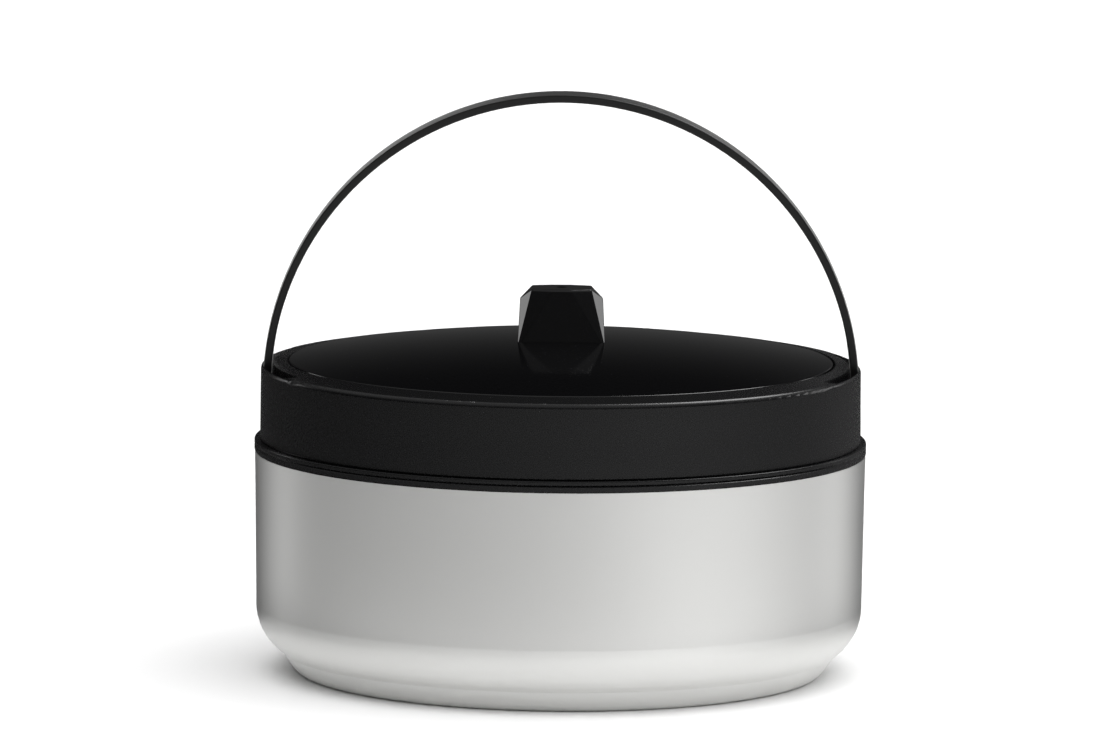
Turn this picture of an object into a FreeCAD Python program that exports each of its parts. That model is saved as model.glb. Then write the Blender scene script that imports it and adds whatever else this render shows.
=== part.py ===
import FreeCAD, Part
import math
import os

from FreeCAD import Vector

# An insulated chapati casserole: a double-walled steel body with a foam filling, a lift-off black
# lid with a domed panel and a faceted knob, and a band handle that swings on two pins in the lid.
# Millimetres. The origin is the centre of the base on the table, +Z is up, the front faces -Y,
# and the handle's arch spans X.

# Fits between pieces
running_fit = 0.05
push_fit = 0.1
loose_fit = 0.3

# Steel bowl
bowl_radius = 110.6
bowl_draft = 1.6
bowl_sheet = 0.5
bowl_base = 13.0
bowl_corner_round = 20.0
rim_lip = 1.2
rim_round = 0.5

# Steel outer shell
shell_top = 87.3
shell_draft = 1.0
shell_sheet = 0.6
corner_round = 21.0
corner_slope = 50.0
step_inset = 10.8
step_height = 8.4
step_round = 0.8
foot_slope = 35.0
foot_round = 6.0
foot_inset = 15.2
base_recess = 2.6
base_taper = 1.5
base_round = 1.6
fill_hole_radius = 6.0

# Plug in the base, where the foam is poured
plug_head_reach = 3.0
plug_head = 1.2
plug_grip = 2.5

# Black collar ring between the shell and the bowl
collar_overhang = 0.2
collar_height = 4.6
collar_round = 0.5
collar_groove_depth = 0.5
collar_groove_height = 1.0
shadow_gap = 0.6
shadow_depth = 0.3
skirt_length = 8.0
skirt_wall = 2.0
web_thickness = 3.4
spigot_height = 4.7
spigot_wall = 3.0
guide_wall = 2.0

# Black lid cover
lid_gap = 1.1
lid_wall = 2.4
lid_setback = 2.0
lid_draft = 0.2
lid_wall_height = 29.1
lid_foot_round = 0.7
lid_edge_round = 1.9
shoulder_rise = 1.9
shoulder_width = 10.2
shoulder_round = 0.4
seat_depth = 2.5
deck_thickness = 2.2
inner_wall = 2.0

# Domed lid panel
panel_groove = 0.8
panel_rise = 9.0
panel_wall = 2.0
panel_seat_width = 3.5
panel_edge_round = 0.5

# Lid liner, its ring and the gasket
ring_clearance = 0.8
ring_step = 1.25
ring_wall = 2.0
ring_head_room = 1.2
ring_flange = 1.6
ring_flange_reach = 7.0
ring_drop = 8.1
gasket_height = 2.8
gasket_depth = 1.7
gasket_seat = 2.5
gasket_lip = 0.7
liner_sheet = 0.5
liner_dish = 1.2
liner_play = 0.2

# Faceted knob
knob_height = 20.1
knob_base_half_width = 17.2
knob_base_half_depth = 12.3
knob_side_draft = 0.9
knob_side_drop = 4.2
knob_top_inset = 5.7
knob_top_setback = 5.4
knob_nose_half_width = 3.2
knob_nose_setback = 3.3
knob_sink = 3.0
knob_edge_round = 1.2
dimple_radius = 2.0
dimple_depth = 1.5

# Knob screws and washers
screw_spacing = 16.0
screw_radius = 1.5
screw_clearance = 0.2
screw_bite = 11.0
screw_head_radius = 3.2
screw_head = 2.0
washer_radius = 4.6
washer_thickness = 0.8
pad_margin = 0.4

# Band handle
lid_skin = 0.4
band_thickness = 3.3
band_width = 17.0
band_edge_round = 0.5
pivot_below_edge = 9.3
handle_fold = 68.0
swing_clearance = 0.6
pocket_wall = 2.2

# Handle pins
pin_radius = 2.0
pin_reach = 2.0
pin_head_radius = 3.6
pin_head = 1.2
pin_washer_radius = 4.2
pin_washer = 0.8
boss_radius = 5.6
boss_depth = 4.3
access_clearance = 0.4

# Radii that follow from the sizes above, from the bowl outwards
bowl_mouth_radius = bowl_radius - bowl_sheet
spigot_inner_radius = bowl_radius + loose_fit
spigot_outer_radius = spigot_inner_radius + spigot_wall
rim_lip_radius = spigot_outer_radius + push_fit
lid_foot_radius = rim_lip_radius + bowl_sheet + lid_gap + lid_wall
lid_top_radius = lid_foot_radius - lid_draft
shell_radius = lid_foot_radius + lid_setback
collar_radius = shell_radius + collar_overhang
step_radius = shell_radius - step_inset
foot_inner_radius = step_radius - foot_inset
band_outer_radius = lid_top_radius - lid_skin - loose_fit
band_inner_radius = band_outer_radius - band_thickness
pocket_radius = band_inner_radius - loose_fit
boss_back = pocket_radius - boss_depth
groove_radius = lid_top_radius - shoulder_width
panel_radius = groove_radius - panel_groove
panel_seat_radius = panel_radius - panel_seat_width
ring_radius = bowl_mouth_radius - ring_clearance
ring_skirt_radius = ring_radius - ring_step
ring_bore = ring_skirt_radius - ring_wall
ring_flange_radius = ring_radius - ring_wall - ring_flange_reach
inner_wall_radius = ring_bore - running_fit
liner_dish_radius = ring_flange_radius - liner_dish
gasket_bed = ring_radius - gasket_depth
knob_pad_radius = screw_spacing / 2 + washer_radius + pad_margin

# Heights that follow, from the shell upwards
ledge_z = shell_top + collar_height
skirt_z = shell_top - skirt_length
web_z = ledge_z - web_thickness
rim_z = ledge_z + spigot_height
ring_bottom = rim_z + bowl_sheet - ring_drop
liner_z = ring_bottom + ring_flange
inner_wall_z = liner_z + liner_sheet + running_fit
gasket_z = liner_z + gasket_seat
lid_edge_z = ledge_z + lid_wall_height
pivot_z = lid_edge_z - pivot_below_edge
ring_top = pivot_z - pin_washer_radius - ring_head_room
shoulder_z = lid_edge_z + shoulder_rise
seat_z = shoulder_z - seat_depth
deck_z = seat_z - deck_thickness
panel_top = shoulder_z + panel_rise
knob_top = panel_top + knob_height
centre_of_swing = Vector(0, 0, pivot_z)
SIDES = (("left", -1), ("right", 1))


def turn_angle(before, corner, after):
    """Signed angle in radians by which a profile turns at a corner."""
    first = math.atan2(corner[1] - before[1], corner[0] - before[0])
    second = math.atan2(after[1] - corner[1], after[0] - corner[0])
    return (second - first + math.pi) % (2 * math.pi) - math.pi


def toward(start, end, length):
    """Point at a distance from start on the way to end."""
    span = math.hypot(end[0] - start[0], end[1] - start[1])
    share = length / span
    return (start[0] + (end[0] - start[0]) * share, start[1] + (end[1] - start[1]) * share)


def upright(point):
    """Radius and height as a point in the XZ plane."""
    return Vector(point[0], 0, point[1])


def corner_arc(before, corner, after):
    """Fillet of a corner (radius, height, fillet), as its two tangent points and its middle."""
    half_turn = abs(turn_angle(before, corner, after)) / 2
    reach = corner[2] * math.tan(half_turn)
    start = toward(corner, before, reach)
    end = toward(corner, after, reach)
    chord_middle = ((start[0] + end[0]) / 2, (start[1] + end[1]) / 2)
    to_centre = corner[2] / math.cos(half_turn)
    middle = toward(corner, chord_middle, to_centre - corner[2])
    return start, middle, end


def profile_edges(corners, closed):
    """Lines and fillet arcs through corners, each given as (radius, height, fillet)."""
    count = len(corners)
    arcs = []
    for index, corner in enumerate(corners):
        inner = closed or 0 < index < count - 1
        if inner and corner[2] > 0:
            after = corners[(index + 1) % count]
            arcs.append(corner_arc(corners[index - 1], corner, after))
        else:
            arcs.append((corner[:2], None, corner[:2]))
    edges = []
    for index, (start, middle, end) in enumerate(arcs):
        if middle:
            edges.append(Part.Arc(upright(start), upright(middle), upright(end)).toShape())
        if index + 1 < count or closed:
            following = arcs[(index + 1) % count][0]
            edges.append(Part.makeLine(upright(end), upright(following)))
    return edges


def offset_corners(corners, distance):
    """The same profile moved sideways, to its right for a positive distance."""
    moved = []
    last = len(corners) - 1
    for index, corner in enumerate(corners):
        before = corners[max(index - 1, 0)]
        after = corners[min(index + 1, last)]
        way_in = math.atan2(corner[1] - before[1], corner[0] - before[0])
        way_out = math.atan2(after[1] - corner[1], after[0] - corner[0])
        if index == 0:
            way_in = way_out
        if index == last:
            way_out = way_in
        turn = (way_out - way_in + math.pi) % (2 * math.pi) - math.pi
        across = way_in + turn / 2 - math.pi / 2
        reach = distance / math.cos(turn / 2)
        fillet = corner[2]
        if fillet > 0:
            fillet = max(fillet + math.copysign(distance, turn), 0)
        moved.append((corner[0] + reach * math.cos(across), corner[1] + reach * math.sin(across), fillet))
    return moved


def revolve(edges):
    """Solid of revolution about the vertical axis."""
    face = Part.Face(Part.Wire(Part.sortEdges(edges)[0]))
    return face.revolve(Vector(0, 0, 0), Vector(0, 0, 1), 360)


def turned(corners):
    """Solid turned from a closed profile of (radius, height, fillet) corners."""
    return revolve(profile_edges(corners, True))


def turned_sheet(corners, thickness):
    """Pressed sheet: a profile with a wall of even thickness on its right."""
    near = profile_edges(corners, False)
    far_corners = offset_corners(corners, thickness)
    far = profile_edges(far_corners, False)
    ends = []
    for index in (0, -1):
        ends.append(Part.makeLine(upright(corners[index]), upright(far_corners[index])))
    return revolve(near + far + ends)


def cylinder(radius, bottom, top, x=0.0):
    """Upright cylinder between two heights."""
    return Part.makeCylinder(radius, top - bottom, Vector(x, 0, bottom))


def crosswise_cylinder(radius, start, end, side):
    """Cylinder on the handle's axis between two distances from the middle, on one side."""
    base = Vector(side * start, 0, pivot_z)
    return Part.makeCylinder(radius, end - start, base, Vector(side, 0, 0))


def shell_corners():
    """Outer surface of the steel shell, from its top edge down and in to the fill hole."""
    wall_foot_radius = shell_radius - shell_draft
    corner_z = step_height + (wall_foot_radius - step_radius) / math.tan(math.radians(corner_slope))
    foot_radius = step_radius - step_height * math.tan(math.radians(foot_slope))
    return [
        (shell_radius, shell_top, 0),
        (wall_foot_radius, corner_z, corner_round),
        (step_radius, step_height, step_round),
        (foot_radius, 0, foot_round),
        (foot_inner_radius, 0, base_round),
        (foot_inner_radius - base_taper, base_recess, base_round),
        (fill_hole_radius, base_recess, 0),
    ]


def bowl_corners():
    """Underside of the steel bowl, from the lip of its rim in and down to the middle."""
    return [
        (rim_lip_radius, rim_z - rim_lip, 0),
        (rim_lip_radius, rim_z, rim_round),
        (bowl_radius, rim_z, rim_round),
        (bowl_radius - bowl_draft, bowl_base, bowl_corner_round),
        (0, bowl_base, 0),
    ]


def filled(corners, top):
    """Everything inside a profile that runs down and in, up to a height."""
    first = corners[0]
    last = corners[-1]
    closing = [(0, last[1], 0), (0, top, 0), (first[0], top, 0)]
    path = list(corners) + [point for point in closing if point[:2] not in (last[:2], first[:2])]
    return turned(path)


def make_outer_shell():
    return turned_sheet(shell_corners(), shell_sheet)


def make_fill_plug():
    """Push-in plug whose head lies in the recess of the base."""
    head_radius = fill_hole_radius + plug_head_reach
    head = cylinder(head_radius, base_recess - plug_head, base_recess)
    top = base_recess + shell_sheet + plug_grip
    return head.fuse(cylinder(fill_hole_radius - push_fit, base_recess, top)).removeSplitter()


def make_collar_ring():
    """Collar with a grooved band, a skirt inside the shell and a spigot inside the lid."""
    skirt_radius = shell_radius - shell_sheet - push_fit
    groove_z = (ledge_z + shell_top + shadow_gap) / 2
    half_groove = collar_groove_height / 2
    return turned([
        (spigot_inner_radius, rim_z, 0),
        (spigot_outer_radius, rim_z, rim_round),
        (spigot_outer_radius, ledge_z, 0),
        (collar_radius, ledge_z, collar_round),
        (collar_radius, groove_z + half_groove, 0),
        (collar_radius - collar_groove_depth, groove_z, 0),
        (collar_radius, groove_z - half_groove, 0),
        (collar_radius, shell_top + shadow_gap, 0),
        (shell_radius - shadow_depth, shell_top + shadow_gap, 0),
        (shell_radius - shadow_depth, shell_top, 0),
        (skirt_radius, shell_top, 0),
        (skirt_radius, skirt_z, collar_round),
        (skirt_radius - skirt_wall, skirt_z, 0),
        (skirt_radius - skirt_wall, web_z, 0),
        (spigot_inner_radius + guide_wall, web_z, 0),
        (spigot_inner_radius + guide_wall, skirt_z, 0),
        (spigot_inner_radius, skirt_z, 0),
    ])


def make_inner_bowl():
    return turned_sheet(bowl_corners(), bowl_sheet)


def make_body_foam(collar, plug):
    """Foam that fills the space between the shell, the bowl and the collar."""
    inside_shell = offset_corners(shell_corners(), shell_sheet)
    block = filled(inside_shell, shell_top)
    block = block.cut(filled(bowl_corners()[2:], ledge_z))
    skirt_void = cylinder(shell_radius, skirt_z, ledge_z).cut(cylinder(spigot_outer_radius, 0, ledge_z))
    return block.cut(skirt_void).cut(collar).cut(plug)


def lid_envelope():
    """Outside of the lid cover, filled down to its foot."""
    return turned([
        (0, ledge_z, 0),
        (lid_foot_radius, ledge_z, lid_foot_round),
        (lid_top_radius, lid_edge_z, lid_edge_round),
        (groove_radius, shoulder_z, shoulder_round),
        (0, shoulder_z, 0),
    ])


def lid_shell():
    """Side wall, shoulder, deck and inner wall of the lid cover in one turned moulding."""
    return turned([
        (lid_foot_radius, ledge_z, lid_foot_round),
        (lid_top_radius, lid_edge_z, lid_edge_round),
        (groove_radius, shoulder_z, shoulder_round),
        (groove_radius, seat_z, 0),
        (0, seat_z, 0),
        (0, deck_z, 0),
        (inner_wall_radius - inner_wall, deck_z, 0),
        (inner_wall_radius - inner_wall, inner_wall_z, 0),
        (inner_wall_radius, inner_wall_z, 0),
        (inner_wall_radius, deck_z, 0),
        (lid_top_radius - lid_wall, deck_z, lid_edge_round),
        (lid_foot_radius - lid_wall, ledge_z, 0),
    ])


def swing_fan(margin, side):
    """Upright prism that holds the band's leg from one end of its swing to the other."""
    half = band_width / 2 + margin
    fold = math.radians(handle_fold)
    reach = (shoulder_z - pivot_z + band_width) / math.cos(fold)
    start_x = side * (pocket_radius - band_width)
    low = (half * math.cos(fold), -half * math.sin(fold))
    far = (low[0] + reach * math.sin(fold), low[1] + reach * math.cos(fold))

    def place(across, up):
        return Vector(start_x, across, pivot_z + up)

    edges = [
        Part.Arc(place(-low[0], low[1]), place(0, -half), place(low[0], low[1])).toShape(),
        Part.makeLine(place(low[0], low[1]), place(far[0], far[1])),
        Part.makeLine(place(far[0], far[1]), place(-far[0], far[1])),
        Part.makeLine(place(-far[0], far[1]), place(-low[0], low[1])),
    ]
    face = Part.Face(Part.Wire(edges))
    return face.extrude(Vector(side * shell_radius, 0, 0))


def swing_shell(inner, outer):
    """Hollow sphere about the middle of the swing."""
    return Part.makeSphere(outer, centre_of_swing).cut(Part.makeSphere(inner, centre_of_swing))


def handle_pocket(side):
    """Space swept by the band's leg, which leaves a thin skin of the lid's wall outside it."""
    shell = swing_shell(pocket_radius, band_outer_radius + loose_fit)
    return swing_fan(swing_clearance, side).common(shell)


def pocket_backing(side):
    """Material behind the pocket, as thick as the pocket's wall all round."""
    sphere = Part.makeSphere(pocket_radius - pocket_wall, centre_of_swing)
    return swing_fan(swing_clearance + pocket_wall, side).common(lid_envelope()).cut(sphere)


def access_hole(side):
    """Hole in the inner wall through which the pin is pushed in."""
    radius = pin_washer_radius + access_clearance
    return crosswise_cylinder(radius, inner_wall_radius - 2 * inner_wall, boss_back, side)


def knob_pad():
    """Pad on the deck that carries the middle of the panel under the knob."""
    return cylinder(knob_pad_radius, deck_z, panel_top)


def screw_holes(bottom, top, radius):
    """Two upright holes for the knob's screws."""
    half = screw_spacing / 2
    return cylinder(radius, bottom, top, -half).fuse(cylinder(radius, bottom, top, half))


def make_lid_cover(panel_space):
    cover = lid_shell()
    below_seat = cylinder(lid_foot_radius, 0, seat_z)
    for _, side in SIDES:
        cover = cover.fuse(pocket_backing(side).cut(cylinder(inner_wall_radius, 0, shoulder_z)))
    for _, side in SIDES:
        cover = cover.fuse(crosswise_cylinder(boss_radius, boss_back, pocket_radius, side))
        cover = cover.cut(handle_pocket(side))
        cover = cover.cut(crosswise_cylinder(pin_radius + running_fit, boss_back, band_inner_radius, side))
        cover = cover.cut(access_hole(side))
    pad = knob_pad().cut(below_seat).cut(panel_space)
    cover = cover.fuse(pad)
    return cover.cut(screw_holes(deck_z, panel_top, screw_radius + screw_clearance)).removeSplitter()


def dome_radius(radius, rise):
    """Radius of the sphere whose cap has this base radius and rise."""
    return (radius ** 2 + rise ** 2) / (2 * rise)


def dome_arc(radius, top, rise):
    """Arc of a dome from its middle out to its edge."""
    sphere = dome_radius(radius, rise)
    half_way = math.asin(radius / sphere) / 2
    middle = (sphere * math.sin(half_way), top - sphere * (1 - math.cos(half_way)))
    return Part.Arc(upright((0, top)), upright(middle), upright((radius, top - rise))).toShape()


def path_edges(points):
    """Straight edges through points of (radius, height)."""
    edges = []
    for start, end in zip(points[:-1], points[1:]):
        edges.append(Part.makeLine(upright(start), upright(end)))
    return edges


def panel_inner_arc():
    """Underside of the dome, and the height at which it meets the inner edge of the panel's seat."""
    sphere = dome_radius(panel_radius, panel_rise) - panel_wall
    rise = sphere - math.sqrt(sphere ** 2 - panel_seat_radius ** 2)
    crown = panel_top - panel_wall
    return dome_arc(panel_seat_radius, crown, rise), crown - rise


def is_panel_rim(edge):
    """Whether an edge is the circle where the dome meets the panel's side."""
    box = edge.BoundBox
    level = abs(box.ZMin - shoulder_z) < running_fit and box.ZLength < running_fit
    return level and abs(box.XMax - panel_radius) < running_fit


def make_lid_disc():
    """Domed panel: a spherical cap with a short rim that stands on the cover's seat."""
    under, under_edge = panel_inner_arc()
    edges = [dome_arc(panel_radius, panel_top, panel_rise), under]
    edges += path_edges([(panel_radius, shoulder_z), (panel_radius, seat_z),
                         (panel_seat_radius, seat_z), (panel_seat_radius, under_edge)])
    edges += path_edges([(0, panel_top), (0, panel_top - panel_wall)])
    disc = revolve(edges)
    disc = disc.makeFillet(panel_edge_round, [edge for edge in disc.Edges if is_panel_rim(edge)])
    return disc.cut(screw_holes(deck_z, panel_top, screw_radius + screw_clearance))


def under_panel():
    """Everything from the panel's top surface down, to seat the pieces that touch it."""
    edges = [dome_arc(panel_radius, panel_top, panel_rise)]
    edges += path_edges([(panel_radius, shoulder_z), (panel_radius, deck_z), (0, deck_z), (0, panel_top)])
    return revolve(edges)


def under_dome():
    """The panel's own thickness over the pad, without the room below it."""
    under, under_edge = panel_inner_arc()
    room = revolve([under] + path_edges([(panel_seat_radius, under_edge), (panel_seat_radius, deck_z),
                                         (0, deck_z), (0, panel_top - panel_wall)]))
    return cylinder(knob_pad_radius * 2, deck_z, knob_top).cut(room)


def make_lid_liner():
    """Pressed steel plate that closes the lid from below."""
    return turned_sheet([
        (inner_wall_radius - liner_play, liner_z, 0),
        (ring_flange_radius, liner_z, liner_sheet),
        (liner_dish_radius, liner_z - liner_dish, liner_sheet),
        (0, liner_z - liner_dish, 0),
    ], liner_sheet)


def make_liner_ring():
    """Ring that clips round the lid's inner wall, holds the liner and carries the gasket."""
    groove_top = gasket_z + gasket_height + running_fit
    groove_bottom = gasket_z - running_fit
    return turned([
        (ring_flange_radius, ring_bottom, liner_sheet),
        (ring_radius, ring_bottom, liner_sheet),
        (ring_radius, groove_bottom, 0),
        (gasket_bed, groove_bottom, 0),
        (gasket_bed, groove_top, 0),
        (ring_radius, groove_top, 0),
        (ring_radius, groove_top + ring_wall, 0),
        (ring_skirt_radius, groove_top + ring_wall, 0),
        (ring_skirt_radius, ring_top, 0),
        (ring_bore, ring_top, 0),
        (ring_bore, liner_z, 0),
        (ring_flange_radius, liner_z, 0),
    ])


def make_lid_gasket():
    """Silicone ring with two lips that face the bowl's wall."""
    tip = bowl_mouth_radius - loose_fit - running_fit
    root = tip - gasket_lip
    middle = gasket_z + gasket_height / 2
    quarter = gasket_height / 4
    top = gasket_z + gasket_height
    return turned([
        (gasket_bed, gasket_z, 0),
        (root, gasket_z, 0),
        (tip, gasket_z + quarter, 0),
        (root, middle, 0),
        (tip, top - quarter, 0),
        (root, top, 0),
        (gasket_bed, top, 0),
    ])


def make_lid_foam():
    """Foam between the lid's deck and its liner, with room for the screw heads."""
    liner_top = liner_z + liner_sheet
    foam = cylinder(inner_wall_radius - inner_wall - running_fit, liner_top, deck_z)
    foam = foam.fuse(cylinder(liner_dish_radius - liner_sheet, liner_top - liner_dish, deck_z))
    head_room = deck_z - washer_thickness - screw_head - loose_fit
    return foam.cut(screw_holes(head_room, deck_z, washer_radius + loose_fit)).removeSplitter()


def knob_facets():
    """Flat facets of the knob: each is a list of its corners."""
    floor = panel_top - knob_sink
    shoulder = knob_top - knob_side_drop

    def corner(x_sign, y_sign, half_width, half_depth, height):
        return (x_sign * half_width, y_sign * half_depth, height)

    def base(x_sign, y_sign):
        return corner(x_sign, y_sign, knob_base_half_width, knob_base_half_depth, floor)

    def top(x_sign, y_sign):
        half_width = knob_base_half_width - knob_top_inset
        return corner(x_sign, y_sign, half_width, knob_base_half_depth - knob_top_setback, knob_top)

    def nose(x_sign, y_sign):
        half_depth = knob_base_half_depth - knob_nose_setback
        return corner(x_sign, y_sign, knob_nose_half_width, half_depth, knob_top)

    def side(x_sign):
        return corner(x_sign, 0, knob_base_half_width - knob_side_draft, 0, shoulder)

    facets = [
        [base(-1, -1), base(1, -1), base(1, 1), base(-1, 1)],
        [nose(-1, -1), nose(1, -1), top(1, -1), top(1, 1), nose(1, 1), nose(-1, 1), top(-1, 1), top(-1, -1)],
    ]
    for y_sign in (-1, 1):
        facets.append([base(-1, y_sign), base(1, y_sign), nose(1, y_sign), nose(-1, y_sign)])
        for x_sign in (-1, 1):
            facets.append([base(x_sign, y_sign), top(x_sign, y_sign), nose(x_sign, y_sign)])
            facets.append([base(x_sign, y_sign), side(x_sign), top(x_sign, y_sign)])
    for x_sign in (-1, 1):
        facets.append([base(x_sign, -1), base(x_sign, 1), side(x_sign)])
        facets.append([side(x_sign), top(x_sign, -1), top(x_sign, 1)])
    return facets


def outward(points, inside):
    """The same corners in the order that makes their facet face away from a point inside."""
    normal = (points[1] - points[0]).cross(points[2] - points[0])
    if normal.dot(points[0] - inside) < 0:
        points.reverse()
    return points


def make_lid_knob():
    """Solid faceted grip that stands on the dome, drilled for its two screws."""
    faces = []
    for facet in knob_facets():
        points = outward([Vector(*point) for point in facet], Vector(0, 0, panel_top))
        faces.append(Part.Face(Part.makePolygon(points + points[:1])))
    knob = Part.Solid(Part.Shell(faces))
    lowest = knob.BoundBox.ZMin
    edges = [edge for edge in knob.Edges if edge.BoundBox.ZMax > lowest + knob_edge_round]
    knob = knob.makeFillet(knob_edge_round, edges)
    knob = knob.cut(under_panel())
    knob = knob.cut(cylinder(dimple_radius, knob_top - dimple_depth, knob_top + dimple_depth))
    return knob.cut(screw_holes(deck_z, panel_top + screw_bite, screw_radius + running_fit))


def make_knob_screws():
    """Two pan-head screws that hold the knob through the panel and the cover."""
    head_top = deck_z - washer_thickness
    half = screw_spacing / 2
    screws = []
    for x in (-half, half):
        head = cylinder(screw_head_radius, head_top - screw_head, head_top, x)
        shank = cylinder(screw_radius, head_top - screw_head, panel_top + screw_bite - screw_clearance, x)
        screws.append(head.fuse(shank).removeSplitter())
    return Part.makeCompound(screws)


def make_knob_washers():
    half = screw_spacing / 2
    washers = []
    for x in (-half, half):
        ring = cylinder(washer_radius, deck_z - washer_thickness, deck_z, x)
        washers.append(ring.cut(cylinder(screw_radius + running_fit, 0, panel_top, x)))
    return Part.makeCompound(washers)


def make_carry_handle():
    """Half-round band, crowned outside, with round-ended legs that hang on the pins."""
    size = 2 * shell_radius
    base = Vector(0, -band_width / 2, pivot_z)
    bore = Part.makeCylinder(band_inner_radius, band_width, base, Vector(0, 1, 0))
    outline = Part.makeBox(2 * size, band_width, size, Vector(-size, -band_width / 2, pivot_z))
    for _, side in SIDES:
        outline = outline.fuse(crosswise_cylinder(band_width / 2, 0, size, side))
    band = Part.makeSphere(band_outer_radius, centre_of_swing).common(outline).cut(bore)
    band = band.removeSplitter()
    band = band.makeFillet(band_edge_round, band.Edges)
    for _, side in SIDES:
        band = band.cut(crosswise_cylinder(pin_radius + running_fit, pocket_radius, shell_radius, side))
    return band


def make_handle_pin(side):
    """Headed pin that runs from inside the lid through the boss into the band."""
    head_face = boss_back - pin_washer
    pin = crosswise_cylinder(pin_radius, head_face - pin_head, band_inner_radius + pin_reach, side)
    head = crosswise_cylinder(pin_head_radius, head_face - pin_head, head_face, side)
    return pin.fuse(head).removeSplitter()


def make_pin_washer(side):
    """Washer between the pin's head and the boss."""
    washer = crosswise_cylinder(pin_washer_radius, boss_back - pin_washer, boss_back, side)
    return washer.cut(crosswise_cylinder(pin_radius + running_fit, 0, shell_radius, side))


def make_parts():
    """Every piece of the casserole under its own name."""
    collar = make_collar_ring()
    plug = make_fill_plug()
    parts = {
        "outer_shell": make_outer_shell(),
        "foam_fill_plug": plug,
        "collar_ring": collar,
        "inner_bowl": make_inner_bowl(),
        "body_foam": make_body_foam(collar, plug),
        "lid_cover": make_lid_cover(under_dome()),
        "lid_disc": make_lid_disc(),
        "lid_foam": make_lid_foam(),
        "lid_liner": make_lid_liner(),
        "liner_ring": make_liner_ring(),
        "lid_gasket": make_lid_gasket(),
        "lid_knob": make_lid_knob(),
        "knob_screws": make_knob_screws(),
        "knob_washers": make_knob_washers(),
        "carry_handle": make_carry_handle(),
    }
    for name, side in SIDES:
        parts["handle_pin_" + name] = make_handle_pin(side)
        parts["pin_washer_" + name] = make_pin_washer(side)
    return parts


os.makedirs("parts", exist_ok=True)
for node, shape in make_parts().items():
    shape.exportStep(os.path.join("parts", node + ".step"))
    box = shape.BoundBox
    print("%-20s %d solid(s) valid=%s volume=%.0f z=%.1f..%.1f" % (
        node, len(shape.Solids), shape.isValid(), shape.Volume, box.ZMin, box.ZMax))
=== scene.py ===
# %% [markdown]
# # An insulated chapati casserole
# A steel body with foam in its double wall, a black lid with a glossy domed panel and a faceted
# knob, and a thin band handle that stands up from two slots in the lid's shoulder.
# The solids come from the CAD model and already have their true shape, so this lesson is mostly
# about finishes and light: satin steel and polished black plastic are nothing but what they mirror.

# %% The frame: every CAD piece, in metres, in one shared space
import math

import bpy
import numpy as np
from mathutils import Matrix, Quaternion, Vector

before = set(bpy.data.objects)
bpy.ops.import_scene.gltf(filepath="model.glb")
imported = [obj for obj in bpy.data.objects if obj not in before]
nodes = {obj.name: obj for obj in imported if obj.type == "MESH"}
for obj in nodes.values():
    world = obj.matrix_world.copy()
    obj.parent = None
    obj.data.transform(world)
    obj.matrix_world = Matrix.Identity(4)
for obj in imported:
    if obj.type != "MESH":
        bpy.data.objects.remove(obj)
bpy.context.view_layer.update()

MM = 0.001
print("CAD pieces:", len(nodes))

# %% [markdown]
# ## Colours
# A colour picked on a screen is sRGB, while the renderer works in linear light. One could type
# linear numbers, but nobody can picture those, so every colour here is a hex value and one
# function turns it into linear light.

# %% From a screen colour to linear light
def linear(hex_colour):
    """Linear RGBA of an sRGB hex value: each channel is decoded by the sRGB curve."""
    channels = np.array([int(hex_colour[i:i + 2], 16) for i in (1, 3, 5)]) / 255.0
    decoded = np.where(channels <= 0.04045, channels / 12.92, ((channels + 0.055) / 1.055) ** 2.4)
    return (*decoded.tolist(), 1.0)


print("half of the hex scale in linear light:", round(linear("#808080")[0], 3))

# %% [markdown]
# ## Nodes
# A material is a small graph of nodes. Building it by hand in the editor is quick, but a script
# can be read and repeated. One function adds a node with its settings and links in a single call,
# which keeps every material below down to a few lines.

# %% One function that adds a node, and one that starts a material
def add(tree, kind, settings=None, links=None):
    """Adds one shader node: settings are its properties or input values, links feed its inputs."""
    node = tree.nodes.new(kind)
    for name, value in (settings or {}).items():
        if isinstance(name, str) and hasattr(node, name):
            setattr(node, name, value)
        else:
            node.inputs[name].default_value = value
    for name, output in (links or {}).items():
        tree.links.new(output, node.inputs[name])
    return node


def new_material(name, settings):
    """A material with one Principled BSDF, its constant values set on the shader's own sockets."""
    material = bpy.data.materials.new(name)
    material.use_nodes = True
    tree = material.node_tree
    shader = tree.nodes["Principled BSDF"]
    for socket, value in settings.items():
        shader.inputs[socket].default_value = value
    return material, tree, shader


def pattern_place(tree, size):
    """Object coordinates divided by a real length on each axis, so a pattern's grain is that long."""
    place = add(tree, "ShaderNodeTexCoord")
    divided = add(tree, "ShaderNodeMapping", {"Scale": tuple(1 / length for length in size)},
                  {"Vector": place.outputs["Object"]})
    return divided.outputs["Vector"]


print("helpers ready:", add.__name__, new_material.__name__, pattern_place.__name__)

# %% [markdown]
# ## Satin steel
# The shell is drawn from stainless sheet and then polished to a satin finish. Drawing leaves faint
# upright streaks, and polishing round the body spreads every highlight upright. The streaks could
# be painted in an image, but an image has a seam and repeats, so noise that is stretched along the
# height takes its place. What the eye gets is a soft highlight that runs from top to bottom.
# A metal's colour is all in its reflection: metallic is 1 and the IOR stays at its default.

# %% Satin drawn steel
# Real satin grain is under a tenth of a millimetre wide. It is drawn coarser, about as wide as
# one pixel of the render, because it would not show otherwise.
GRAIN_WIDTH = 0.5 * MM
GRAIN_LENGTH = 9.0 * MM
CLOUD_SIZE = 45.0 * MM
GRAIN_DEPTH = 0.02 * MM


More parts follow.
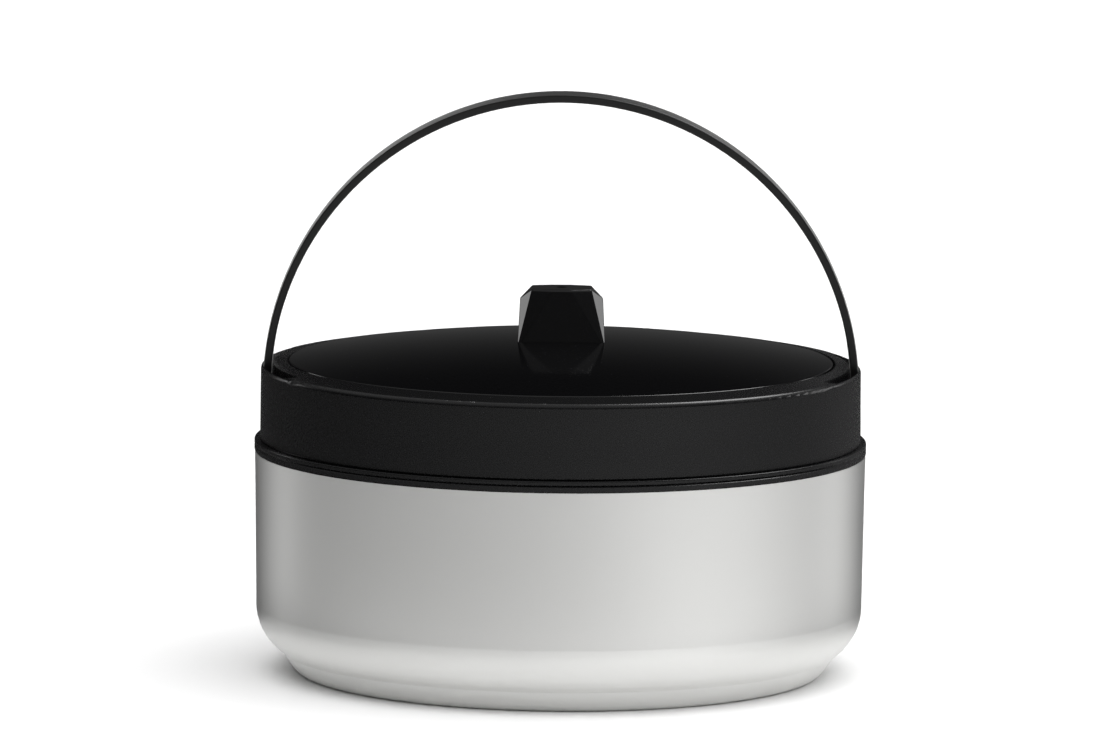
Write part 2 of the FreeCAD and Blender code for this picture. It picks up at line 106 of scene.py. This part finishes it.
def satin_steel():
    """Fine upright grain mixed with slow clouds changes the roughness; grain alone is the bump."""
    material, tree, shader = new_material("stainless_steel_satin_drawn", {
        "Base Color": linear("#EEEEEC"),
        "Metallic": 1.0,
        "Roughness": 0.42,
        "Anisotropic": 0.80,
        "Anisotropic Rotation": 0.25,
    })
    grain = add(tree, "ShaderNodeTexNoise", {"Scale": 1.0, "Detail": 3.0},
                {"Vector": pattern_place(tree, (GRAIN_WIDTH, GRAIN_WIDTH, GRAIN_LENGTH))})
    cloud = add(tree, "ShaderNodeTexNoise", {"Scale": 1.0, "Detail": 4.0},
                {"Vector": pattern_place(tree, (CLOUD_SIZE,) * 3)})
    both = add(tree, "ShaderNodeMix", {"data_type": "FLOAT", "Factor": 0.55},
               {"A": grain.outputs["Fac"], "B": cloud.outputs["Fac"]})
    rough = add(tree, "ShaderNodeMapRange", {"To Min": 0.38, "To Max": 0.46},
                {"Value": both.outputs["Result"]})
    bump = add(tree, "ShaderNodeBump", {"Strength": 0.25, "Distance": GRAIN_DEPTH},
               {"Height": grain.outputs["Fac"]})
    tree.links.new(rough.outputs["Result"], shader.inputs["Roughness"])
    tree.links.new(bump.outputs["Normal"], shader.inputs["Normal"])
    return material


shell_steel = satin_steel()
print("made", shell_steel.name)

# %% [markdown]
# ## Spun steel
# The bowl and the lid's liner are turned on a lathe, so their fine lines are circles about the
# axis. A ring texture would do, but its rings are all alike. Here the distance from the axis is
# worked out from the object coordinates, and noise that changes only with that distance and with
# height gives rings of uneven strength that close on themselves without a seam.

# %% Spun steel with rings about the axis
RING_PITCH = 0.7 * MM
RING_DEPTH = 0.02 * MM


def spun_steel():
    """Noise of (distance from the axis, height) gives rings; the angle has no part in it."""
    material, tree, shader = new_material("stainless_steel_spun", {
        "Base Color": linear("#DEDEDC"),
        "Metallic": 1.0,
        "Roughness": 0.3,
    })
    place = add(tree, "ShaderNodeTexCoord")
    flat = add(tree, "ShaderNodeMapping", {"Scale": (1.0, 1.0, 0.0)},
               {"Vector": place.outputs["Object"]})
    radius = add(tree, "ShaderNodeVectorMath", {"operation": "LENGTH"},
                 {0: flat.outputs["Vector"]})
    height = add(tree, "ShaderNodeSeparateXYZ", None, {"Vector": place.outputs["Object"]})
    ring_place = add(tree, "ShaderNodeCombineXYZ", None,
                     {"X": radius.outputs["Value"], "Z": height.outputs["Z"]})
    rings = add(tree, "ShaderNodeTexNoise", {"Scale": 1 / RING_PITCH, "Detail": 2.0},
                {"Vector": ring_place.outputs["Vector"]})
    rough = add(tree, "ShaderNodeMapRange", {"To Min": 0.22, "To Max": 0.36},
                {"Value": rings.outputs["Fac"]})
    bump = add(tree, "ShaderNodeBump", {"Strength": 0.3, "Distance": RING_DEPTH},
               {"Height": rings.outputs["Fac"]})
    tree.links.new(rough.outputs["Result"], shader.inputs["Roughness"])
    tree.links.new(bump.outputs["Normal"], shader.inputs["Normal"])
    return material


bowl_steel = spun_steel()
print("made", bowl_steel.name)

# %% [markdown]
# ## Black plastics
# Three black mouldings differ in their moulds. The cover and the collar are polypropylene from a
# satin mould, which gives a soft sheen. The panel and the knob are ABS from a polished mould and
# mirror the room. The handle's band is nylon from a finely eroded mould: its tiny pits catch the
# light at a grazing view, so the band turns grey where it curves away, which sheen gives.
# Three separate materials would repeat the same graph, so one function makes all three.

# %% Moulded black plastics
# A mould's own texture is finer than a tenth of a millimetre. It is drawn coarser to show.
MOULD_GRAIN = 0.6 * MM
SINK_WAVE = 30.0 * MM
# One IOR serves all three: it is polypropylene's, and ABS and nylon are a little higher.
PLASTIC_IOR = 1.49


def black_plastic(name, colour, rough, variation, ripple, texture=None):
    """Roughness goes rough - variation to rough + variation with fine noise; slow noise ripples."""
    material, tree, shader = new_material(name, {
        "Base Color": linear(colour),
        "Roughness": rough,
        "IOR": PLASTIC_IOR,
        **(texture or {}),
    })
    grain = add(tree, "ShaderNodeTexNoise", {"Scale": 1.0, "Detail": 2.0},
                {"Vector": pattern_place(tree, (MOULD_GRAIN,) * 3)})
    uneven = add(tree, "ShaderNodeMapRange",
                 {"To Min": rough - variation, "To Max": rough + variation},
                 {"Value": grain.outputs["Fac"]})
    wave = add(tree, "ShaderNodeTexNoise", {"Scale": 1.0, "Detail": 1.0},
               {"Vector": pattern_place(tree, (SINK_WAVE,) * 3)})
    bump = add(tree, "ShaderNodeBump", {"Strength": 0.4, "Distance": ripple},
               {"Height": wave.outputs["Fac"]})
    tree.links.new(uneven.outputs["Result"], shader.inputs["Roughness"])
    tree.links.new(bump.outputs["Normal"], shader.inputs["Normal"])
    return material


satin_black = black_plastic("polypropylene_moulded_black", "#080809",
                            rough=0.27, variation=0.02, ripple=0.03 * MM)
gloss_black = black_plastic("abs_polished_black", "#060607",
                            rough=0.10, variation=0.02, ripple=0.02 * MM)
band_black = black_plastic("nylon_moulded_black", "#060606",
                           rough=0.36, variation=0.03, ripple=0.02 * MM,
                           texture={"Sheen Weight": 0.35, "Sheen Roughness": 0.35})
print("made", satin_black.name, gloss_black.name, band_black.name)

# %% [markdown]
# ## Insulation
# Polyurethane foam is poured between the walls and sets there. It shows only when a piece is taken
# out. Plain beige would look like plaster, so a cell pattern gives it the open, uneven surface
# that a cut through foam has, with painted shade that darkens the pit of each cell.

# %% Poured foam
# Real cells are a few tenths of a millimetre. They are drawn larger to show.
FOAM_CELL = 1.2 * MM
CELL_DEPTH = 0.3 * MM


def cellular_foam():
    """The distance to the nearest cell centre sets colour and height: both are least at a centre, so
    every pit gets painted shade.
    """
    material, tree, shader = new_material("polyurethane_foam_poured", {"Roughness": 0.9})
    cells = add(tree, "ShaderNodeTexVoronoi", {"Scale": 1.0},
                {"Vector": pattern_place(tree, (FOAM_CELL,) * 3)})
    # Painted shade: the colour is darkest at each cell centre, where the bump makes a pit.
    tint = add(tree, "ShaderNodeValToRGB", None, {"Fac": cells.outputs["Distance"]})
    tint.color_ramp.elements[0].color = linear("#C9B887")
    tint.color_ramp.elements[1].color = linear("#EBDDB2")
    bump = add(tree, "ShaderNodeBump", {"Strength": 0.6, "Distance": CELL_DEPTH},
               {"Height": cells.outputs["Distance"]})
    tree.links.new(tint.outputs["Color"], shader.inputs["Base Color"])
    tree.links.new(bump.outputs["Normal"], shader.inputs["Normal"])
    return material


foam = cellular_foam()
print("made", foam.name)

# %% [markdown]
# ## Silicone and zinc
# The gasket is moulded silicone, pale and slightly cloudy, drawn opaque here because it shows only
# edge on. Screws, washers and pins are zinc-plated steel, a grey metal with a faint mottle. Both
# are one even surface with a slight unevenness, so one function makes them.

# %% Gasket silicone and plated steel
SILICONE_CLOUD = 2.0 * MM
ZINC_GRAIN = 0.3 * MM
SPECKLE_ROUGHNESS = 0.06


def speckled(name, colours, rough, metallic, size):
    """Two close colours mixed by fine noise, which also changes the roughness a little."""
    material, tree, shader = new_material(name, {"Roughness": rough, "Metallic": metallic})
    noise = add(tree, "ShaderNodeTexNoise", {"Scale": 1.0, "Detail": 3.0},
                {"Vector": pattern_place(tree, (size,) * 3)})
    tint = add(tree, "ShaderNodeValToRGB", None, {"Fac": noise.outputs["Fac"]})
    tint.color_ramp.elements[0].color = linear(colours[0])
    tint.color_ramp.elements[1].color = linear(colours[1])
    uneven = add(tree, "ShaderNodeMapRange",
                 {"To Min": rough - SPECKLE_ROUGHNESS, "To Max": rough + SPECKLE_ROUGHNESS},
                 {"Value": noise.outputs["Fac"]})
    tree.links.new(tint.outputs["Color"], shader.inputs["Base Color"])
    tree.links.new(uneven.outputs["Result"], shader.inputs["Roughness"])
    return material


silicone = speckled("silicone_moulded_translucent", ("#C8C8C3", "#D6D6D2"),
                    rough=0.45, metallic=0.0, size=SILICONE_CLOUD)
zinc = speckled("steel_zinc_plated", ("#B4B6BA", "#CBCDD0"),
                rough=0.3, metallic=1.0, size=ZINC_GRAIN)
print("made", silicone.name, zinc.name)

# %% [markdown]
# ## Finishes on the CAD pieces
# Each CAD piece keeps its mesh. Assigning to its material slots is all that changes, so the
# table below is the whole dressing of the object.

# %% Dress the pieces
FINISHES = {
    "outer_shell": shell_steel,
    "inner_bowl": bowl_steel,
    "lid_liner": bowl_steel,
    "collar_ring": satin_black,
    "lid_cover": satin_black,
    "liner_ring": satin_black,
    "foam_fill_plug": satin_black,
    "carry_handle": band_black,
    "lid_disc": gloss_black,
    "lid_knob": gloss_black,
    "body_foam": foam,
    "lid_foam": foam,
    "lid_gasket": silicone,
    "knob_screws": zinc,
    "knob_washers": zinc,
    "handle_pin_left": zinc,
    "handle_pin_right": zinc,
    "pin_washer_left": zinc,
    "pin_washer_right": zinc,
}
for name, finish in FINISHES.items():
    mesh = nodes[name].data
    mesh.materials.clear()
    mesh.materials.append(finish)
print("dressed", len(FINISHES), "of", len(nodes), "pieces")

# %% [markdown]
# ## The floor
# The object stands on a white studio floor. A single sheet would be simplest, but polished black
# would then mirror white out to the horizon and turn grey. So the floor is two flat sheets with
# the same paint: the near disc is mirrored, which gives the steel's lower curve the shade of the
# ground it stands on, and the far ring is hidden from reflections.

# %% A near disc and a far ring
NEAR_FLOOR = 165.0 * MM
FAR_FLOOR = 12.0
FLOOR_SIDES = 96
FLOOR_RINGS = 5
MOTTLE_SIZE = 0.25


def floor_ring(name, inner, outer, material):
    """A flat ring at z = 0: the radius runs from inner to outer and the angle once round."""
    angles = np.linspace(0, 2 * np.pi, FLOOR_SIDES + 1)[:-1]
    radii = np.linspace(inner, outer, FLOOR_RINGS)
    turn, radius = np.meshgrid(angles, radii, indexing="ij")
    points = np.stack([radius * np.cos(turn), radius * np.sin(turn), np.zeros_like(turn)], axis=-1)
    index = np.arange(turn.size).reshape(turn.shape)
    ahead = np.roll(index, -1, axis=0)
    quads = np.stack([index[:, :-1], index[:, 1:], ahead[:, 1:], ahead[:, :-1]], axis=-1)
    mesh = bpy.data.meshes.new(name)
    mesh.from_pydata(points.reshape(-1, 3).tolist(), [], quads.reshape(-1, 4).tolist())
    mesh.materials.append(material)
    floor = bpy.data.objects.new(name, mesh)
    bpy.context.scene.collection.objects.link(floor)
    return floor


def floor_paint():
    """Matt white with a faint mottle a quarter of a metre across."""
    material, tree, shader = new_material("studio_floor_painted", {"Roughness": 0.85})
    mottle = add(tree, "ShaderNodeTexNoise", {"Scale": 1.0},
                 {"Vector": pattern_place(tree, (MOTTLE_SIZE,) * 3)})
    tint = add(tree, "ShaderNodeValToRGB", None, {"Fac": mottle.outputs["Fac"]})
    tint.color_ramp.elements[0].color = linear("#F6F6F6")
    tint.color_ramp.elements[1].color = linear("#FAFAFA")
    tree.links.new(tint.outputs["Color"], shader.inputs["Base Color"])
    return material


paint = floor_paint()
near_floor = floor_ring("floor_near", 0.0, NEAR_FLOOR, paint)
far_floor = floor_ring("floor_far", NEAR_FLOOR, FAR_FLOOR, paint)
far_floor.visible_glossy = False
print("floor in metres:", [round(d, 1) for d in far_floor.dimensions])

# %% [markdown]
# ## Softboxes
# Four softboxes are there only to be mirrored: the camera and matt surfaces don't see them. The
# key draws the thin bright line along the lid's rim at the right. The haze lifts the right half of
# the glossy panel. A strip on each side gives the knob's side facets something to mirror. Lamps
# that light matt surfaces too would each add a shadow on the floor, so these are hidden from it.

# %% Lights that only gloss can see
LIGHT_TARGET = Vector((0, 0, 0.12))
SOFTBOXES = {
    "key_back_right": {
        "azimuth": 125, "elevation": 56, "distance": 2.5, "size": (1.6, 1.2), "radiance": 6.0},
    "haze_back_right": {
        "azimuth": 158, "elevation": 15, "distance": 2.5, "size": (1.2, 0.5), "radiance": 0.15},
    "strip_right": {
        "azimuth": 128, "elevation": 14, "distance": 2.0, "size": (0.45, 0.45), "radiance": 2.0},
    "strip_left": {
        "azimuth": -128, "elevation": 14, "distance": 2.0, "size": (0.45, 0.45), "radiance": 2.0},
}


def aimed(name, light, azimuth, elevation, distance):
    """Puts a light at an azimuth (0 in front, 90 at the right) and an elevation, facing the target."""
    turn = math.radians(azimuth)
    rise = math.radians(elevation)
    away = Vector((math.sin(turn) * math.cos(rise), -math.cos(turn) * math.cos(rise), math.sin(rise)))
    lamp = bpy.data.objects.new(name, light)
    bpy.context.scene.collection.objects.link(lamp)
    lamp.location = LIGHT_TARGET + distance * away
    lamp.rotation_euler = (LIGHT_TARGET - lamp.location).to_track_quat("-Z", "Y").to_euler()
    lamp.visible_camera = False
    lamp.visible_diffuse = False
    return lamp


def softbox(name, azimuth, elevation, distance, size, radiance):
    """A rectangle of even brightness: its power is radiance times its area times pi."""
    light = bpy.data.lights.new(name, "AREA")
    light.shape = "RECTANGLE"
    light.size, light.size_y = size
    light.energy = radiance * size[0] * size[1] * math.pi
    return aimed(name, light, azimuth, elevation, distance)


for name, settings in SOFTBOXES.items():
    lamp = softbox(name, **settings)
    print(name, "watts:", round(lamp.data.energy, 1))

# %% [markdown]
# ## The light on the floor
# The photographed object is cut out on white, so the floor has to come out white as well. A very
# wide sun overhead does that, and the shadow it leaves is faint and soft. It is hidden from gloss,
# because the glossy panel would mirror it.

# %% A wide sun for the floor
SUN_STRENGTH = 3.5
SUN_WIDTH = math.radians(100)

sun = bpy.data.lights.new("floor_light", "SUN")
sun.energy = SUN_STRENGTH
sun.angle = SUN_WIDTH
floor_light = aimed("floor_light", sun, azimuth=60, elevation=76, distance=3.0)
floor_light.visible_glossy = False
floor_light.visible_diffuse = True
print("sun strength:", sun.energy)

# %% [markdown]
# ## The room
# Satin steel shows the whole room blurred into one gradient, so the room matters more than any
# lamp. An image of a real studio could be wrapped round the scene, but it would bring its own
# windows and lamps. Here brightness is worked out from the direction alone. First come the
# directions: how high, how far behind, and how far round towards the bright side, which is at the
# right in front.

# %% Directions in the room
BRIGHT_SIDE = math.radians(52)
PANEL_NARROWNESS = 9.0
PANEL_SHARE = 0.65

world = bpy.data.worlds.new("studio_room")
bpy.context.scene.world = world
world.use_nodes = True
room = world.node_tree
bright_way = (math.sin(BRIGHT_SIDE), -math.cos(BRIGHT_SIDE), 0.0)

direction = add(room, "ShaderNodeTexCoord").outputs["Generated"]
toward = add(room, "ShaderNodeVectorMath", {"operation": "DOT_PRODUCT", 1: bright_way},
             {0: direction})
split = add(room, "ShaderNodeSeparateXYZ", None, {"Vector": direction})
behind = split.outputs["Y"]
height = split.outputs["Z"]

# Facing is 0 with the back to the bright side and 1 towards it. Across mixes it with a narrow
# panel, which is facing to a high power.
facing = add(room, "ShaderNodeMath", {"operation": "MULTIPLY_ADD", 1: 0.5, 2: 0.5},
             {0: toward.outputs["Value"]}).outputs["Value"]
panel = add(room, "ShaderNodeMath", {"operation": "POWER", 1: PANEL_NARROWNESS}, {0: facing})
wide = add(room, "ShaderNodeMath", {"operation": "MULTIPLY", 1: 1 - PANEL_SHARE}, {0: facing})
across = add(room, "ShaderNodeMath", {"operation": "MULTIPLY_ADD", 1: PANEL_SHARE},
             {0: panel.outputs["Value"], 2: wide.outputs["Value"]}).outputs["Value"]
print("bright side:", [round(c, 2) for c in bright_way])

# %% [markdown]
# ## Dim walls
# The black plastic mirrors the walls, and it is dark in the photograph, so the walls are dim. They
# get a little brighter towards the bright side and fade with height.

# %% Walls: a side to side gradient times a fade with height
walls_turn = add(room, "ShaderNodeMapRange", {"To Min": 0.02, "To Max": 0.21}, {"Value": facing})
walls_fade = add(room, "ShaderNodeMapRange",
                 {"interpolation_type": "SMOOTHSTEP", "From Min": -0.05, "From Max": 0.40,
                  "To Min": 1.0, "To Max": 0.12}, {"Value": height})
walls = add(room, "ShaderNodeMath", {"operation": "MULTIPLY"},
            {0: walls_turn.outputs["Result"], 1: walls_fade.outputs["Result"]})
print("walls begin to fade at height", round(walls_fade.inputs["From Min"].default_value, 2))

# %% [markdown]
# ## The bright ground
# The steel's rough surface gathers light from below the horizon, where a white studio floor is.
# So a bright band lies just below the horizon, strongest at the right in front and once more
# behind. It fades further down, because steel that is seen from above mirrors that part, and
# would come out even whiter there than it does.

# %% Ground: a band below the horizon, brighter towards the sides that need it
ground_turn = add(room, "ShaderNodeMapRange", {"To Min": 1.30, "To Max": 3.50}, {"Value": across})
ground_back = add(room, "ShaderNodeMapRange",
                  {"interpolation_type": "SMOOTHSTEP", "From Min": 0.30, "From Max": 0.90,
                   "To Min": 0.0, "To Max": 1.1}, {"Value": behind})
ground_start = add(room, "ShaderNodeMapRange",
                   {"interpolation_type": "SMOOTHSTEP", "From Min": -0.17, "From Max": -0.38,
                    "To Min": 0.0, "To Max": 1.0}, {"Value": height})
ground_fade = add(room, "ShaderNodeMapRange",
                  {"interpolation_type": "SMOOTHSTEP", "From Min": -0.36, "From Max": -0.64,
                   "To Min": 1.0, "To Max": 0.25}, {"Value": height})
sides = add(room, "ShaderNodeMath", {"operation": "ADD"},
            {0: ground_turn.outputs["Result"], 1: ground_back.outputs["Result"]})
below = add(room, "ShaderNodeMath", {"operation": "MULTIPLY"},
            {0: ground_start.outputs["Result"], 1: ground_fade.outputs["Result"]})
ground = add(room, "ShaderNodeMath", {"operation": "MULTIPLY"},
             {0: below.outputs["Value"], 1: sides.outputs["Value"]})
print("ground band starts at height", round(ground_start.inputs["From Min"].default_value, 2))

# %% [markdown]
# ## A faint ceiling
# The domed panel mirrors what is above and behind. A faint ceiling gives it a slow gradient, and
# it stops behind, so that the panel stays dark where it mirrors that side.

# %% Ceiling: rises with height, and stops behind
ceiling_turn = add(room, "ShaderNodeMapRange", {"To Min": 0.40, "To Max": 0.80}, {"Value": across})
ceiling_rise = add(room, "ShaderNodeMapRange",
                   {"interpolation_type": "SMOOTHSTEP", "From Min": 0.25, "From Max": 0.85,
                    "To Min": 0.0, "To Max": 1.0}, {"Value": height})
ceiling_front = add(room, "ShaderNodeMapRange",
                    {"interpolation_type": "SMOOTHSTEP", "From Min": 0.50, "From Max": 0.80,
                     "To Min": 1.0, "To Max": 0.0}, {"Value": behind})
above = add(room, "ShaderNodeMath", {"operation": "MULTIPLY"},
            {0: ceiling_rise.outputs["Result"], 1: ceiling_front.outputs["Result"]})
ceiling = add(room, "ShaderNodeMath", {"operation": "MULTIPLY"},
              {0: above.outputs["Value"], 1: ceiling_turn.outputs["Result"]})
print("ceiling starts at height", round(ceiling_rise.inputs["From Min"].default_value, 2))

# %% [markdown]
# ## The whole room
# The three parts add up to one brightness for each direction. The view transform is the standard
# one, so white in the render is white in the picture, as in the photograph.

# %% Walls, ground and ceiling added up
lower = add(room, "ShaderNodeMath", {"operation": "ADD"},
            {0: walls.outputs["Value"], 1: ground.outputs["Value"]})
glow = add(room, "ShaderNodeMath", {"operation": "ADD"},
           {0: lower.outputs["Value"], 1: ceiling.outputs["Value"]})
background = room.nodes["Background"]
room.links.new(glow.outputs["Value"], background.inputs["Strength"])
background.inputs["Color"].default_value = linear("#FFFFFF")
bpy.context.scene.view_settings.view_transform = "Standard"
print("room nodes:", len(room.nodes))

# %% [markdown]
# ## The camera
# The rings of the body and the lid fix the camera: how flat each ellipse looks gives the height
# of the lens, and how that changes from ring to ring gives its distance.

# %% Camera fitted to the rings
CAMERA_DISTANCE = 4.092
CAMERA_ELEVATION = math.radians(7.47)
CAMERA_ROLL = math.radians(0.53)
TARGET = Vector((-0.00037, 0.0, 0.1182))
PIXELS_PER_METRE = 2546.0
IMAGE_WIDTH = 1120
SENSOR_WIDTH = 36.0

camera_data = bpy.data.cameras.new("camera")
camera = bpy.data.objects.new("camera", camera_data)
bpy.context.scene.collection.objects.link(camera)
forward = Vector((0, math.cos(CAMERA_ELEVATION), -math.sin(CAMERA_ELEVATION)))
camera.location = TARGET - CAMERA_DISTANCE * forward
look = forward.to_track_quat("-Z", "Y")
camera.rotation_euler = (look @ Quaternion((0, 0, 1), CAMERA_ROLL)).to_euler()
camera_data.sensor_width = SENSOR_WIDTH
camera_data.lens = PIXELS_PER_METRE * CAMERA_DISTANCE / IMAGE_WIDTH * SENSOR_WIDTH
bpy.context.scene.camera = camera
print("lens in mm:", round(camera_data.lens, 1))
